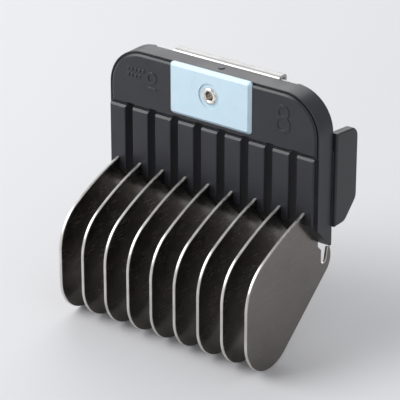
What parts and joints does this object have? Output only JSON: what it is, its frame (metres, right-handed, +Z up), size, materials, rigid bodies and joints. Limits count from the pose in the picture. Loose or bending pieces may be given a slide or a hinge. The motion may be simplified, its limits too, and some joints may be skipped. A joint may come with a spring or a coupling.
{
  "type": "clipper guard comb",
  "caption": "Guard comb that pushes on to a detachable clipper blade: black carrier, steel fins, colour-coded size tab and sprung latch.",
  "frame": {"origin": "on the blade seat, in the middle of the comb's width, on the middle rib's rear face", "axes": "+X across the comb, +Y out of the blade seat towards the clipper, +Z up towards the blade's heel and the latch"},
  "size_m": [0.0532, 0.0329, 0.0539],
  "materials": {
    "carrier_plastic": "satin moulded",
    "tab_plastic": "gloss",
    "eyelet_nickel": "nickel plated",
    "fin_steel": "polished edges",
    "latch_steel": "satin",
    "spring_steel": "wire"
  },
  "bodies": {
    "comb": {"comb_body": "carrier_plastic", "size_tab": "tab_plastic", "eyelet": "eyelet_nickel", "latch_spring_left": "spring_steel", "latch_spring_right": "spring_steel", "fin_1": "fin_steel", "fin_2": "fin_steel", "fin_3": "fin_steel", "fin_4": "fin_steel", "fin_5": "fin_steel", "fin_6": "fin_steel", "fin_7": "fin_steel", "fin_8": "fin_steel", "fin_9": "fin_steel"},
    "latch": {"latch_slide": "latch_steel"}
  },
  "joints": [
    {"name": "latch_travel", "type": "slide", "parent": "comb", "child": "latch", "axis": [0, 0, 1], "range_m": [0, 0.0015], "stiffness_N_per_m": 4500, "springref_m": -0.001, "deforming": ["latch_spring_left", "latch_spring_right"]}
  ]
}
